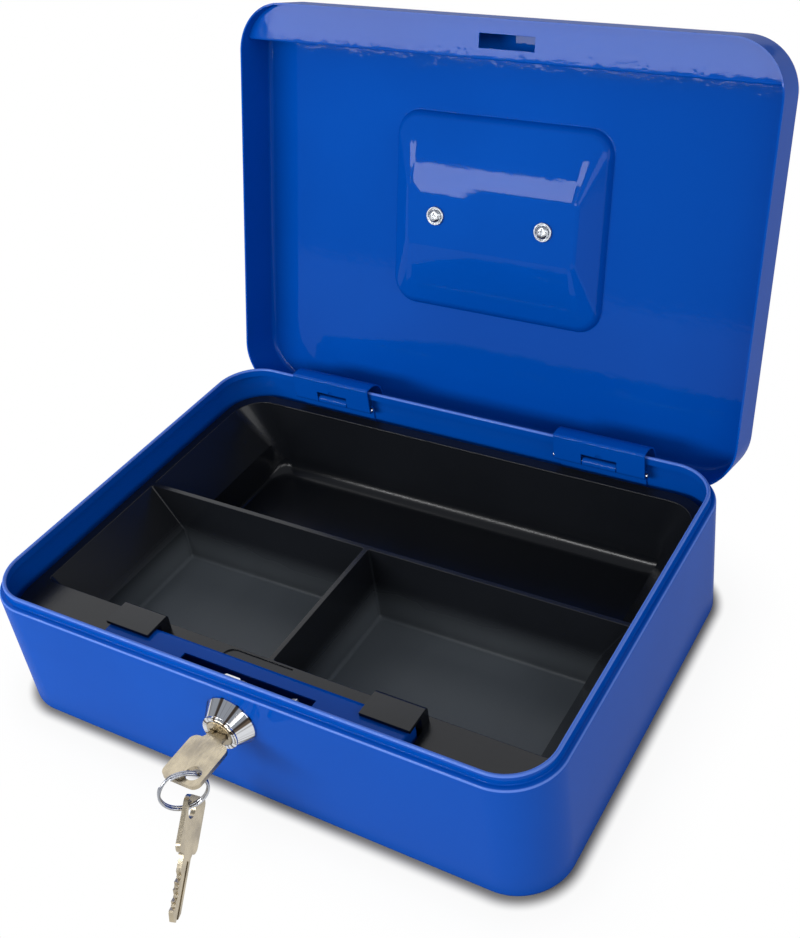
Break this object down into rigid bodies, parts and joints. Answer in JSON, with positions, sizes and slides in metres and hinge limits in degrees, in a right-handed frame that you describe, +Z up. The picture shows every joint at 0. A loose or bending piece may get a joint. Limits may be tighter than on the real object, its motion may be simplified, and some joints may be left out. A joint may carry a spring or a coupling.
{
  "type": "cash box",
  "caption": "Portable steel cash box with a hinged lid standing open, a recessed carry handle, a cylinder lock with keys on a ring and a compartment tray.",
  "frame": {"origin": "middle of the case's underside", "axes": "+X to the right as seen from the lock side, +Y to the rear where the hinges are, +Z up; the lid stands open at 106 degrees"},
  "size_m": [0.25, 0.3126, 0.2214],
  "materials": {
    "paint": "glossy blue powder coat with a fine orange peel",
    "zinc_steel": "bright zinc plate",
    "chrome": "polished chrome",
    "nickel": "nickel plate, lightly brushed",
    "tray_plastic": "satin black moulded plastic"
  },
  "bodies": {
    "case": {"case_shell": "paint", "lock_cover": "paint", "hinge_bracket_left": "paint", "hinge_bracket_right": "paint", "hinge_pin_left": "zinc_steel", "hinge_pin_right": "zinc_steel", "lock_barrel": "chrome", "lock_nut": "zinc_steel"},
    "lid": {"lid_shell": "paint", "latch_strip": "paint", "hinge_leaf_left": "paint", "hinge_leaf_right": "paint", "handle_pivot_left": "zinc_steel", "handle_pivot_right": "zinc_steel", "handle_screws": "zinc_steel", "handle_washers": "zinc_steel"},
    "handle": {"carry_handle": "chrome"},
    "plug": {"lock_plug": "nickel", "latch_cam": "zinc_steel", "cam_nut": "zinc_steel"},
    "key": {"key_in_lock": "nickel"},
    "ring": {"key_ring": "chrome"},
    "spare": {"spare_key": "nickel"},
    "tray": {"cash_tray": "tray_plastic", "tray_feet": "tray_plastic"}
  },
  "joints": [
    {"name": "lid_hinge", "type": "hinge", "parent": "case", "child": "lid", "pos_m": [0, 0.0869, 0.052], "axis": [-1, 0, 0], "range_deg": [-106, 0]},
    {"name": "handle_pivot", "type": "hinge", "parent": "lid", "child": "handle", "pos_m": [0, 0.1328, 0.13444], "axis": [1, 0, 0], "range_deg": [-8, 156]},
    {"name": "lock_turn", "type": "hinge", "parent": "case", "child": "plug", "pos_m": [0, -0.0985, 0.042], "axis": [0, -1, 0], "range_deg": [0, 90]},
    {"name": "key_slide", "type": "slide", "parent": "plug", "child": "key", "axis": [0, -1, 0], "range_m": [0, 0.024]},
    {"name": "ring_swing", "type": "hinge", "parent": "key", "child": "ring", "pos_m": [-0.00018, -0.12103, 0.0438], "axis": [0.682, 0.7314, 0], "range_deg": [-20, 20]},
    {"name": "spare_swing", "type": "hinge", "parent": "ring", "child": "spare", "pos_m": [-0.00018, -0.12103, 0.02715], "axis": [0.9563, 0.2924, 0], "range_deg": [-10, 10]},
    {"name": "tray_tilt", "type": "hinge", "parent": "case", "child": "tray", "pos_m": [0, 0.0865, 0.0465], "axis": [-1, 0, 0], "range_deg": [0, 25]}
  ]
}
